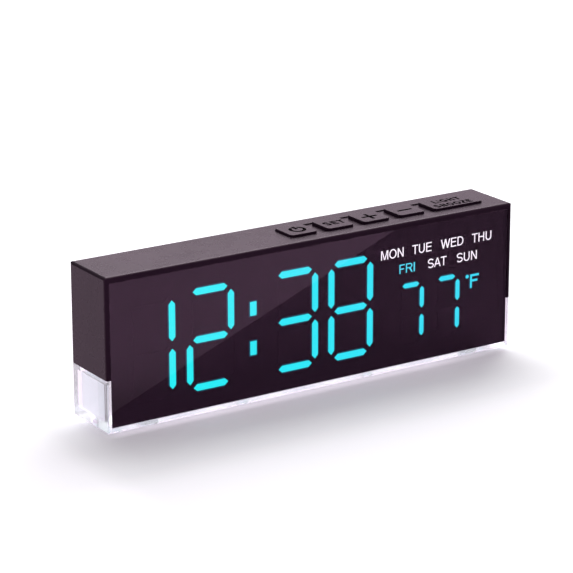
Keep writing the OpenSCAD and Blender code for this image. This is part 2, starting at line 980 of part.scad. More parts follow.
module key_header() {
    color(chip_black) on_feet()
        box([KEY_X[1] - header_len / 2, display_board_back, key_board_low - header_h],
            [KEY_X[1] + header_len / 2, display_board_back + header_w, key_board_low]);
}

module main_board() {
    color(board_white) on_feet() difference() {
        box([-main_board_half, main_board_front, main_board_low],
            [main_board_half, main_board_back, main_board_top]);
        for (x = MAIN_SCREW_X) {
            translate([x, main_screw_y, main_board_low]) board_hole(board_screw_r);
        }
        both_sides() translate([mid_post_x, post_y, main_board_low]) board_hole(case_post_r);
    }
}

module control_chip() {
    color(chip_black) on_feet()
        box([chip_x - chip_w / 2, buzzer_y - chip_w / 2, main_board_top],
            [chip_x + chip_w / 2, buzzer_y + chip_w / 2, main_board_top + chip_t]);
}

module clock_crystal() {
    color(steel) on_feet() translate([crystal_x, crystal_y, main_board_top + crystal_r])
        rotate([-90, 0, 0]) cylinder(r = crystal_r, h = crystal_len);
}

module buzzer() {
    color(chip_black) on_feet() translate([buzzer_x, buzzer_y, main_board_top]) difference() {
        cylinder(r = buzzer_r, h = buzzer_h);
        translate([0, 0, buzzer_h - over]) cylinder(r = sound_hole_r, h = 2 * over);
    }
}

module usb_inlet() {
    color(steel) on_feet() difference() {
        upright(usb_mouth - usb_len, usb_len) usb_outline(0);
        upright(usb_mouth - usb_len + usb_end, usb_len) usb_outline(-usb_shell);
    }
}

module usb_tongue() {
    color(chip_black) on_feet()
        box([usb_x - tongue_half, usb_mouth - usb_len + usb_end, usb_z - tongue_t / 2],
            [usb_x + tongue_half, usb_mouth - tongue_back, usb_z + tongue_t / 2]);
}

module temperature_sensor() {
    color("darkgreen") on_feet() translate([sensor_x, main_screw_y, main_board_top]) {
        for (s = [-1, 1]) {
            translate([s * sensor_leg_x, 0, 0]) cylinder(r = sensor_leg_r, h = sensor_h);
        }
        translate([0, 0, sensor_h]) sphere(r = sensor_r);
    }
}

module main_header() {
    color(chip_black) on_feet()
        box([main_header_x - header_len / 2, display_board_back, main_board_top],
            [main_header_x + header_len / 2, display_board_back + header_w, main_board_top + header_h]);
}

module night_light_leds() {
    color("white") on_feet() for (x = LED_X) {
        box([x - led_w / 2, post_y - led_w / 2, main_board_low - led_t],
            [x + led_w / 2, post_y + led_w / 2, main_board_low]);
    }
}

module light_diffuser() {
    color(milky) on_feet() difference() {
        box([-trough_half, trough_front, trough_low], [trough_half, trough_back, trough_low + trough_h]);
        box([-trough_half + trough_t, trough_front + trough_t, trough_low + trough_t],
            [trough_half - trough_t, trough_back - trough_t, trough_low + trough_h + over]);
        for (x = CASE_POST_X) {
            translate([x, post_y, trough_low - over])
                cylinder(r = base_post_r + hole_play, h = trough_h + 2 * over);
        }
    }
}

module coin_cell() {
    color(steel) on_feet() translate([cell_x, cell_front, cell_z]) rotate([-90, 0, 0]) union() {
        cylinder(r = cell_d / 2 - cell_rim, h = cell_crown + eps);
        translate([0, 0, cell_crown]) cylinder(r = cell_d / 2, h = cell_t - cell_crown);
    }
}

module battery_contacts() {
    color(brass_pin) on_feet() for (s = [-1, 1]) {
        // Leg from the main board up into the cup
        box([cell_x + s * contact_x - contact_w / 2, cup_floor, main_board_top],
            [cell_x + s * contact_x + contact_w / 2, cup_floor + contact_t, pad_low + pad_h]);
        // Raised pad that the cell rests against
        box([cell_x + s * contact_x - contact_w / 2, cup_floor + contact_t - eps, pad_low],
            [cell_x + s * contact_x + contact_w / 2, cell_front, pad_low + pad_h]);
    }
}

module battery_door() {
    color(case_black) on_feet() union() {
        upright(door_back, door_t) translate([cell_x, cell_z]) round_rect(door_w, door_h, door_r);
        for (s = [-1, 1]) {
            translate([cell_x, 0, cell_z + s * finger_z])
                box([-finger_w / 2, door_back - finger_len, -finger_t / 2],
                    [finger_w / 2, door_back + eps, finger_t / 2]);
        }
    }
}

// A screw with its head below z = 0 and its shank above
module screw(head_r, head_h, shank_r, len) {
    difference() {
        translate([0, 0, -head_h]) cylinder(r = head_r, h = head_h);
        for (a = [0, 90]) rotate(a)
            box([-head_r * slot_len_share, -slot_w / 2, -head_h - over],
                [head_r * slot_len_share, slot_w / 2, slot_depth - head_h]);
    }
    translate([0, 0, -eps]) cylinder(r = shank_r, h = len + eps);
}

module case_screws() {
    color(steel) on_feet() for (x = CASE_POST_X) {
        translate([x, post_y, well_top]) screw(case_head_r, case_head_h, case_screw_r, case_screw_len);
    }
}

module board_screw() {
    screw(board_head_r, board_head_h, board_screw_r, board_screw_len);
}

module board_screws() {
    color(steel) on_feet() {
        for (x = DISPLAY_SCREW_X) {
            translate([x, display_board_y, display_screw_z]) rotate([-90, 0, 0]) board_screw();
        }
        for (x = KEY_SCREW_X) translate([x, key_screw_y, key_board_low]) board_screw();
        for (x = MAIN_SCREW_X) translate([x, main_screw_y, main_board_low]) board_screw();
    }
}

module rubber_feet() {
    color([0.9, 0.9, 0.95, 0.6]) for (sx = [-1, 1], sy = [-1, 1]) {
        translate([sx * (half_w - foot_in_x), sy * foot_y, 0]) cylinder(r = foot_d / 2, h = foot_t);
    }
}

upper_case();
clear_base();
front_panel();
panel_tape();
mask_film();
segment_reflector();
lit_segments();
unlit_segments();
weekday_windows();
display_board();
display_leds();
driver_chips();
key_board();
tact_switches();
key_power();
key_set();
key_plus();
key_minus();
key_snooze();
plunger_power();
plunger_set();
plunger_plus();
plunger_minus();
plunger_snooze();
key_header();
main_board();
control_chip();
clock_crystal();
buzzer();
usb_inlet();
usb_tongue();
temperature_sensor();
main_header();
night_light_leds();
light_diffuser();
coin_cell();
battery_contacts();
battery_door();
case_screws();
board_screws();
rubber_feet();
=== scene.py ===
from math import cos, pi, radians, sin, tan

import bmesh
import bpy
from mathutils import Matrix, Vector


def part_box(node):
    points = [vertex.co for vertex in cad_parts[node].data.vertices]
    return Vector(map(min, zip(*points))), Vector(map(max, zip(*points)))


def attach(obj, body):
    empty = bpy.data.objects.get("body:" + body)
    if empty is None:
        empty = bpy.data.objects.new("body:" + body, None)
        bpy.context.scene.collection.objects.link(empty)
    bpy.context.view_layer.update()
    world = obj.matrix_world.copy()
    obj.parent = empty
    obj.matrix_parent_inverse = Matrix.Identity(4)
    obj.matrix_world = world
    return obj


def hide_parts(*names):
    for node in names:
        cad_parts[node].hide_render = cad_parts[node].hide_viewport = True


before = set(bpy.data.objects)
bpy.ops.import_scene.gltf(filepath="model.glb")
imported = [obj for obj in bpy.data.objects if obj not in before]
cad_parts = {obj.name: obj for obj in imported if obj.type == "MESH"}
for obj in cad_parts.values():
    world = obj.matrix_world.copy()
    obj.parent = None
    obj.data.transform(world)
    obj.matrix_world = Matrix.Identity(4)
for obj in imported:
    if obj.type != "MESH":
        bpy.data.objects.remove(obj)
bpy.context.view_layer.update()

MM = 0.001
Y, Z = 1, 2
LIFT = 0.4  # how far the feet hold the case above the floor, in mm


def box_mm(node):
    """The lowest and the highest corner of a CAD node, in mm, to a tenth of a micron."""
    return [[round(v / MM, 4) for v in corner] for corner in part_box(node)]


# Camera, fitted to the seven visible corners of the case

AZIMUTH = radians(-33.043)
ELEVATION = radians(16.205)
ROLL = radians(-0.083)
DISTANCE = 0.83748
TARGET = Vector((-0.00505, 0.0, 0.05343))
LENS = 159.54
SENSOR = 36.0
SHIFT_Y = -0.0986


def make_camera():
    back = Vector((sin(AZIMUTH) * cos(ELEVATION), -cos(AZIMUTH) * cos(ELEVATION), sin(ELEVATION)))
    right = Vector((cos(AZIMUTH), sin(AZIMUTH), 0.0))
    up = back.cross(right)
    data = bpy.data.cameras.new("camera")
    data.lens = LENS
    data.sensor_width = SENSOR
    data.shift_y = SHIFT_Y
    data.clip_start = 0.01
    data.clip_end = 20.0
    camera = bpy.data.objects.new("camera", data)
    turn = Matrix((right, up, back)).transposed().to_4x4()
    camera.matrix_world = (
        Matrix.Translation(TARGET + back * DISTANCE) @ turn @ Matrix.Rotation(ROLL, 4, "Z")
    )
    bpy.context.scene.collection.objects.link(camera)
    bpy.context.scene.camera = camera


# Node helpers

MOST = (0.3, 0.7)  # the range that most of a noise lies in
MIDDLE = (0.35, 0.65)  # a narrower one, for more contrast


def new_material(name):
    material = bpy.data.materials.new(name)
    material.use_nodes = True
    tree = material.node_tree
    return material, tree, tree.nodes["Principled BSDF"]


def place(tree):
    """The object coordinates of a material."""
    for node in tree.nodes:
        if node.type == "TEX_COORD":
            return node.outputs["Object"]
    return tree.nodes.new("ShaderNodeTexCoord").outputs["Object"]


def noise(tree, scale, detail=2.0, stretch=None):
    node = tree.nodes.new("ShaderNodeTexNoise")
    node.inputs["Scale"].default_value = scale
    node.inputs["Detail"].default_value = detail
    vector = place(tree)
    if stretch:
        mapping = tree.nodes.new("ShaderNodeMapping")
        mapping.inputs["Scale"].default_value = stretch
        tree.links.new(vector, mapping.inputs["Vector"])
        vector = mapping.outputs["Vector"]
    tree.links.new(vector, node.inputs["Vector"])
    return node.outputs["Fac"]


def ramp(tree, value, low, high, first, last):
    """value between low and high becomes a colour between first and last."""
    node = tree.nodes.new("ShaderNodeValToRGB")
    node.color_ramp.elements[0].position = low
    node.color_ramp.elements[1].position = high
    node.color_ramp.elements[0].color = (*first, 1.0)
    node.color_ramp.elements[1].color = (*last, 1.0)
    tree.links.new(value, node.inputs["Fac"])
    return node.outputs["Color"]


def span(tree, value, low, high, first, last):
    """value between low and high becomes a number between first and last."""
    node = tree.nodes.new("ShaderNodeMapRange")
    node.inputs["From Min"].default_value = low
    node.inputs["From Max"].default_value = high
    node.inputs["To Min"].default_value = first
    node.inputs["To Max"].default_value = last
    tree.links.new(value, node.inputs["Value"])
    return node.outputs["Result"]


def math_node(tree, operation, first, second):
    node = tree.nodes.new("ShaderNodeMath")
    node.operation = operation
    for socket, value in zip(node.inputs, (first, second)):
        if isinstance(value, (int, float)):
            socket.default_value = value
        else:
            tree.links.new(value, socket)
    return node.outputs["Value"]


def coordinate(tree, name):
    """One of the object coordinates, X, Y or Z, in metres."""
    node = tree.nodes.new("ShaderNodeSeparateXYZ")
    tree.links.new(place(tree), node.inputs["Vector"])
    return node.outputs[name]


def bump(tree, shader, height, strength, distance):
    node = tree.nodes.new("ShaderNodeBump")
    node.inputs["Strength"].default_value = strength
    node.inputs["Distance"].default_value = distance
    tree.links.new(height, node.inputs["Height"])
    tree.links.new(node.outputs["Normal"], shader.inputs["Normal"])


def shades(tree, shader, colour, spread, scale):
    """A base colour that varies softly by spread."""
    first = tuple(c * (1 - spread) for c in colour)
    last = tuple(min(1.0, c * (1 + spread)) for c in colour)
    out = ramp(tree, noise(tree, scale, detail=3.0), *MOST, first, last)
    tree.links.new(out, shader.inputs["Base Color"])


def soft_glow(tree, shader, scale, first, last, strength):
    """A faint light whose colour varies softly between first and last."""
    tint = ramp(tree, noise(tree, scale, detail=1.0), *MOST, first, last)
    tree.links.new(tint, shader.inputs["Emission Color"])
    shader.inputs["Emission Strength"].default_value = strength


def plain_shadow(tree, shader, tint):
    """Lets lamps shine through a clear material, tinted."""
    clear = tree.nodes.new("ShaderNodeBsdfTransparent")
    clear.inputs["Color"].default_value = (*tint, 1.0)
    mix = tree.nodes.new("ShaderNodeMixShader")
    rays = tree.nodes.new("ShaderNodeLightPath")
    tree.links.new(rays.outputs["Is Shadow Ray"], mix.inputs["Fac"])
    tree.links.new(shader.outputs["BSDF"], mix.inputs[1])
    tree.links.new(clear.outputs["BSDF"], mix.inputs[2])
    tree.links.new(mix.outputs["Shader"], tree.nodes["Material Output"].inputs["Surface"])


# Materials

WHITE = (1.0, 1.0, 1.0)
BLACK = (0.022, 0.0125, 0.0195)
PURPLE = (1.0, 0.50, 0.85)  # tint of what the black plastic reflects
GRAIN_DEPTH = 0.00004
# How far the roughness of moulded plastic and of metal varies to either side
PLASTIC_SPREAD, METAL_SPREAD = 0.04, 0.03
LENS_TINT = (0.42, 0.38, 0.42)
LENS_GLOSS_TINT = (1.0, 0.66, 0.97)
CLEAR_ROUGH = (0.20, 0.26)
CLEAR_GLOW, FOOT_GLOW, REFLECTOR_GLOW = 0.045, 0.16, 0.30
# Distance between the lamps in the base, and from the middle to the last, along X in metres
LAMP_PITCH, LAST_LAMP = 0.024, 0.060
LAMP_REACH = 0.001  # from a lamp's middle to where its glow begins to fade, in metres
# Glow of the diffuser halfway between two lamps and at a lamp
MILKY_GLOW = (0.53, 0.74)
# How close to its rear face the diffuser's glow fades, in metres, and what is left of it there
MILKY_FADE = 0.0006
MILKY_REAR_SHARE = 0.60
GLOW_GRAIN_SHARE = 0.9  # what the grain of a lit thing leaves of its light
# Colour of the lit marks at the left and the right end, the ends' X in metres, how far the
# grain shifts a colour along X, and strength
CYAN_LEFT = (0.0, 1.0, 0.93)
CYAN_RIGHT = (0.03, 0.82, 0.93)
CYAN_SPAN = (-0.070, 0.065)
CYAN_GRAIN = 0.008
CYAN_LEVEL = 2.25
TRACE_EDGE = (0.4, 0.6)  # between which values of its wave a trace on a board begins


def moulded(name, colour, rough, tint=WHITE, level=0.5, grain=0.25):
    """Fine-grained moulded plastic."""
    material, tree, shader = new_material(name)
    shades(tree, shader, colour, spread=0.18, scale=60.0)
    tree.links.new(span(tree, noise(tree, scale=240.0, detail=3.0), *MOST,
                        rough - PLASTIC_SPREAD, rough + PLASTIC_SPREAD),
                   shader.inputs["Roughness"])
    shader.inputs["Specular IOR Level"].default_value = level
    shader.inputs["Specular Tint"].default_value = (*tint, 1.0)
    bump(tree, shader, noise(tree, scale=6000.0), grain, GRAIN_DEPTH)
    return material


def smoked_glass():
    """The tinted front panel."""
    material, tree, shader = new_material("front_lens")
    shades(tree, shader, LENS_TINT, spread=0.03, scale=20.0)
    shader.inputs["Roughness"].default_value = 0.0
    shader.inputs["Transmission Weight"].default_value = 1.0
    shader.inputs["IOR"].default_value = 1.42
    shader.inputs["Specular Tint"].default_value = (*LENS_GLOSS_TINT, 1.0)
    plain_shadow(tree, shader, LENS_TINT)
    return material


def clear_plastic():
    """The clear shell of the base."""
    material, tree, shader = new_material("clear_shell")
    shades(tree, shader, (0.90, 0.93, 0.96), spread=0.01, scale=30.0)
    tree.links.new(span(tree, noise(tree, scale=180.0), *MOST, *CLEAR_ROUGH),
                   shader.inputs["Roughness"])
    soft_glow(tree, shader, 60.0, (0.92, 0.96, 1.0), (0.98, 1.0, 1.0), CLEAR_GLOW)
    shader.inputs["Transmission Weight"].default_value = 1.0
    shader.inputs["IOR"].default_value = 1.49
    plain_shadow(tree, shader, (0.93, 0.92, 0.95))
    return material


def clear_rubber():
    """The clear feet."""
    material, tree, shader = new_material("clear_foot")
    shades(tree, shader, (0.88, 0.88, 0.92), spread=0.03, scale=200.0)
    soft_glow(tree, shader, 90.0, (0.90, 0.88, 1.0), (1.0, 0.98, 1.0), FOOT_GLOW)
    shader.inputs["Roughness"].default_value = 0.35
    shader.inputs["Transmission Weight"].default_value = 0.7
    shader.inputs["IOR"].default_value = 1.41
    plain_shadow(tree, shader, (0.8, 0.8, 0.84))
    return material


def milky_plastic():
    """The light diffuser in the base, brightest at its lamps and weaker on its rear face."""
    material, tree, shader = new_material("milky")
    shades(tree, shader, (0.30, 0.30, 0.315), spread=0.02, scale=80.0)
    shader.inputs["Roughness"].default_value = 0.5
    away = math_node(tree, "PINGPONG", math_node(tree, "ADD", coordinate(tree, "X"), LAST_LAMP),
                     LAMP_PITCH / 2)
    level = span(tree, away, LAMP_REACH, LAMP_PITCH / 2, 1.0, 0.0)
    glow = ramp(tree, level, 0.0, 1.0, (0.80, 0.86, 0.97), (0.97, 1.0, 1.0))
    tree.links.new(glow, shader.inputs["Emission Color"])
    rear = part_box("light_diffuser")[1].y
    strength = math_node(tree, "MULTIPLY", span(tree, level, 0.0, 1.0, *MILKY_GLOW),
                         span(tree, coordinate(tree, "Y"), rear - MILKY_FADE, rear, 1.0,
                              MILKY_REAR_SHARE))
    tree.links.new(strength, shader.inputs["Emission Strength"])
    return material


def glowing(name, colour, strength):
    """A lit diffuser: even, a little weaker in its grain."""
    material, tree, shader = new_material(name)
    shader.inputs["Roughness"].default_value = 0.5
    weak = tuple(c * GLOW_GRAIN_SHARE for c in colour)
    tint = ramp(tree, noise(tree, scale=700.0), *MIDDLE, weak, colour)
    tree.links.new(tint, shader.inputs["Emission Color"])
    tree.links.new(tint, shader.inputs["Base Color"])
    shader.inputs["Emission Strength"].default_value = strength
    return material


def lit_cyan():
    """The lit marks, a little bluer from left to right."""
    material, tree, shader = new_material("lit_cyan")
    shader.inputs["Roughness"].default_value = 0.5
    grain = math_node(tree, "MULTIPLY", noise(tree, scale=400.0), CYAN_GRAIN)
    along = math_node(tree, "ADD", coordinate(tree, "X"), grain)
    tint = ramp(tree, span(tree, along, *CYAN_SPAN, 0.0, 1.0), 0.0, 1.0, CYAN_LEFT, CYAN_RIGHT)
    tree.links.new(tint, shader.inputs["Emission Color"])
    tree.links.new(tint, shader.inputs["Base Color"])
    shader.inputs["Emission Strength"].default_value = CYAN_LEVEL
    return material


def lit_white():
    """White plastic of the reflector, which catches some of the light inside the clock."""
    material, tree, shader = new_material("reflector")
    shades(tree, shader, (0.80, 0.80, 0.84), spread=0.03, scale=120.0)
    shader.inputs["Roughness"].default_value = 0.45
    soft_glow(tree, shader, 50.0, (0.88, 0.87, 1.0), (1.0, 0.98, 1.0), REFLECTOR_GLOW)
    return material


def metal(name, colour, rough):
    """Metal with a faintly brushed gloss."""
    material, tree, shader = new_material(name)
    shades(tree, shader, colour, spread=0.04, scale=500.0)
    shader.inputs["Metallic"].default_value = 1.0
    brushed = noise(tree, scale=900.0, detail=3.0, stretch=(1.0, 8.0, 1.0))
    tree.links.new(span(tree, brushed, *MOST, rough - METAL_SPREAD, rough + METAL_SPREAD),
                   shader.inputs["Roughness"])
    return material


def circuit_board():
    """White solder resist with faint traces."""
    material, tree, shader = new_material("board")
    wave = tree.nodes.new("ShaderNodeTexWave")
    wave.inputs["Scale"].default_value = 320.0
    wave.inputs["Distortion"].default_value = 4.0
    tree.links.new(place(tree), wave.inputs["Vector"])
    tint = ramp(tree, wave.outputs["Fac"], *TRACE_EDGE, (0.62, 0.60, 0.67), (0.68, 0.66, 0.72))
    tree.links.new(tint, shader.inputs["Base Color"])
    shader.inputs["Roughness"].default_value = 0.35
    return material


def make_materials():
    """Every finish by its short name."""
    return {
        "case": moulded("black_case", BLACK, rough=0.28, tint=PURPLE, level=0.12, grain=0.05),
        # rim and gap are darker copies of the case plastic, painted shade: rim on the forward
        # faces round the panel and on the key walls, gap in the panel's recess and on the top's
        # side edges
        "rim": moulded("rim_painted_shade", (0.010, 0.004, 0.010), rough=0.5, tint=PURPLE, level=0.13),
        "gap": moulded("recess_and_edge_painted_shade", (0.004, 0.001, 0.004), rough=0.6, tint=PURPLE, level=0.08),
        "key": moulded("black_key", BLACK, rough=0.28, tint=PURPLE, level=0.12, grain=0.05),
        "door": moulded("black_door", BLACK, rough=0.32, tint=PURPLE, level=0.12, grain=0.05),
        "legend": moulded("legend", (0.001, 0.0005, 0.001), rough=0.9, tint=PURPLE, level=0.02),
        "lens": smoked_glass(),
        "clear": clear_plastic(),
        "milky": milky_plastic(),
        "film": moulded("film", (0.003, 0.0015, 0.003), rough=0.6, level=0.1, grain=0.05),
        "reflector": lit_white(),
        "cyan": lit_cyan(),
        "halo": glowing("lit_edge", (0.0, 0.07, 0.11), strength=1.6),
        "unlit": moulded("unlit", (0.004, 0.002, 0.004), rough=0.6, level=0.1, grain=0.05),
        "word": glowing("word_white", (0.97, 0.98, 1.0), strength=3.0),
        "word_cyan": glowing("word_cyan", (0.08, 0.84, 1.0), strength=2.5),
        "board": circuit_board(),
        "chip": moulded("chip", (0.02, 0.02, 0.022), rough=0.45),
        "ivory": moulded("plunger", (0.70, 0.66, 0.56), rough=0.45),
        "sensor": moulded("sensor_bead", (0.02, 0.018, 0.016), rough=0.3),
        "steel": metal("steel", (0.62, 0.62, 0.64), rough=0.32),
        "contact": metal("contact", (0.83, 0.70, 0.45), rough=0.3),
        "light": glowing("light_chip", (0.95, 0.97, 1.0), strength=1.5),
        "foot": clear_rubber(),
    }


# Finish of the CAD nodes

NODE_FINISH = {
    "case": ["upper_case"],
    "clear": ["clear_base"],
    "halo": ["lit_segments"],
    "film": ["mask_film", "weekday_windows", "panel_tape"],
    "reflector": ["segment_reflector"],
    "unlit": ["unlit_segments"],
    "board": ["display_board", "key_board", "main_board"],
    "light": ["night_light_leds", "display_leds"],
    "chip": ["driver_chips", "control_chip", "buzzer", "tact_switches", "key_header",
             "main_header"],
    "ivory": ["plunger_power", "plunger_set", "plunger_plus", "plunger_minus",
              "plunger_snooze"],
    "milky": ["light_diffuser"],
    "steel": ["usb_inlet", "coin_cell", "case_screws", "board_screws", "clock_crystal"],
    "contact": ["battery_contacts"],
    "sensor": ["temperature_sensor", "usb_tongue"],
    "door": ["battery_door"],
    "foot": ["rubber_feet"],
}


def dress_nodes(finishes):
    """Gives every carried-over CAD node its material."""
    for finish, names in NODE_FINISH.items():
        for name in names:
            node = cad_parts[name]
            node.data.materials.clear()
            node.data.materials.append(finishes[finish])


# Masks for the painted shade on the case: its forward faces, the panel's recess and the top's side
# edges
# Reach of the case's rounded edges and of the panel's recess from the front, in mm
EDGE_REACH = 1.0
EDGE_SLACK = 0.05
RECESS_REACH = 2.0
# Highest Y of a face's normal on the rim, and on its edge with the top
RIM_FORWARD, RIM_TOP_FORWARD = -0.5, -0.75
# A normal with a Z above this belongs to the top, and one above SLANTED isn't level
UPWARD = 0.3
SLANTED = 0.1


def paint_case_shade(finishes):
    """Painted shade: the rim round the panel is matte and darker, its recess black, and so are the
    top's side edges.
    """
    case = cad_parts["upper_case"].data
    case.materials.append(finishes["rim"])
    case.materials.append(finishes["gap"])
    rim, gap = 1, 2
    (_, front, _), (half_w, _, top) = box_mm("upper_case")
    inside = EDGE_REACH + EDGE_SLACK
    for face in case.polygons:
        n, c = face.normal, face.center / MM
        forward = RIM_TOP_FORWARD if n.z > UPWARD else RIM_FORWARD
        if c.y < front + inside and n.y < forward:
            face.material_index = rim
        elif c.y < front + RECESS_REACH and abs(c.x) < half_w - inside and c.z < top - inside:
            face.material_index = gap
        # the rounded side edges of the top are painted black as shade
        at_top_edge = abs(c.x) > half_w - EDGE_REACH and c.z > top - EDGE_REACH
        if at_top_edge and abs(n.x) > SLANTED and n.z > SLANTED:
            face.material_index = gap


# Mesh helpers

CORNER_STEPS = 8
ARC_STEPS = 40


def new_piece(name, mesh, body, materials):
    """A piece with the given materials that rides on a body."""
    piece = bpy.data.objects.new(name, mesh)
    bpy.context.scene.collection.objects.link(piece)
    mesh.materials.clear()
    for material in materials:
        mesh.materials.append(material)
    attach(piece, body)
    return piece


def round_outline(w, h, r, x, y):
    """The points of a rectangle with round corners round (x, y), anticlockwise."""
    points = []
    for k, (sx, sy) in enumerate(((1, 1), (-1, 1), (-1, -1), (1, -1))):
        for i in range(CORNER_STEPS + 1):
            a = (k + i / CORNER_STEPS) * pi / 2
            points.append((x + sx * (w / 2 - r) + r * cos(a), y + sy * (h / 2 - r) + r * sin(a)))
    return points


def loft(bm, rings):
    """A closed skin over rings of as many points each, from the lowest to the highest."""
    made = [[bm.verts.new(p) for p in ring] for ring in rings]
    for low, high in zip(made, made[1:]):
        for i in range(len(low)):
            j = (i + 1) % len(low)
            bm.faces.new((low[i], low[j], high[j], high[i]))
    bm.faces.new(list(reversed(made[0])))
    bm.faces.new(made[-1])


def draw_out(rings, axis, far):
    """A solid from flat closed rings of corners, drawn out along an axis to the depth far."""
    bm = bmesh.new()
    for ring in rings:
        made = [bm.verts.new(corner) for corner in ring]
        for a, b in zip(made, made[1:] + made[:1]):
            bm.edges.new((a, b))
    filled = bmesh.ops.triangle_fill(bm, use_beauty=True, use_dissolve=False, edges=bm.edges)
    faces = [f for f in filled["geom"] if isinstance(f, bmesh.types.BMFace)]
    grown = bmesh.ops.extrude_face_region(bm, geom=faces, use_keep_orig=True)
    for v in grown["geom"]:
        if isinstance(v, bmesh.types.BMVert):
            v.co[axis] = far
    return bm


def mesh_of(bm, name):
    bmesh.ops.recalc_face_normals(bm, faces=bm.faces)
    mesh = bpy.data.meshes.new(name)
    bm.to_mesh(mesh)
    bm.free()
    return mesh


def applied(piece):
    """The mesh of an object with its modifiers applied, as a mesh of its own."""
    graph = bpy.context.evaluated_depsgraph_get()
    return bpy.data.meshes.new_from_object(piece.evaluated_get(graph))


# Lettering

# Advance of each letter, and its ink's left and right end, as shares of the cap height
LETTERS = {
    "A": (0.93, 0.00, 0.93), "D": (1.01, 0.11, 0.94), "E": (0.93, 0.11, 0.86),
    "F": (0.85, 0.11, 0.79), "G": (1.09, 0.07, 1.00), "H": (1.01, 0.11, 0.90),
    "I": (0.39, 0.12, 0.27), "L": (0.78, 0.10, 0.73), "M": (1.16, 0.10, 1.06),
    "N": (1.01, 0.11, 0.90), "O": (1.09, 0.06, 1.03), "R": (1.01, 0.11, 0.99),
    "S": (0.93, 0.06, 0.87), "T": (0.85, 0.03, 0.82), "U": (1.01, 0.11, 0.90),
    "W": (1.32, 0.01, 1.31), "Z": (0.85, 0.03, 0.83),
}


MITRE_LEAST = 0.3  # cosine of half a bend, below which its corner isn't drawn out further


def arc(x, y, rx, ry, first, last, steps=14):
    """Points on an ellipse, from one angle in degrees to another."""
    angles = [radians(first + (last - first) * k / steps) for k in range(steps + 1)]
    return [(x + rx * cos(a), y + ry * sin(a)) for a in angles]


def stroke(points, thick):
    """The outline of a line of even thickness through the points, with mitred bends."""
    left, right = [], []
    for i, (x, y) in enumerate(points):
        before = Vector(points[i]) - Vector(points[max(i - 1, 0)])
        after = Vector(points[min(i + 1, len(points) - 1)]) - Vector(points[i])
        before = (before if before.length else after).normalized()
        after = (after if after.length else before).normalized()
        way = (before + after).normalized()
        side = Vector((-way.y, way.x)) * (thick / 2 / max(MITRE_LEAST, way.dot(after)))
        left.append((x + side.x, y + side.y))
        right.append((x - side.x, y - side.y))
    return left + right[::-1]


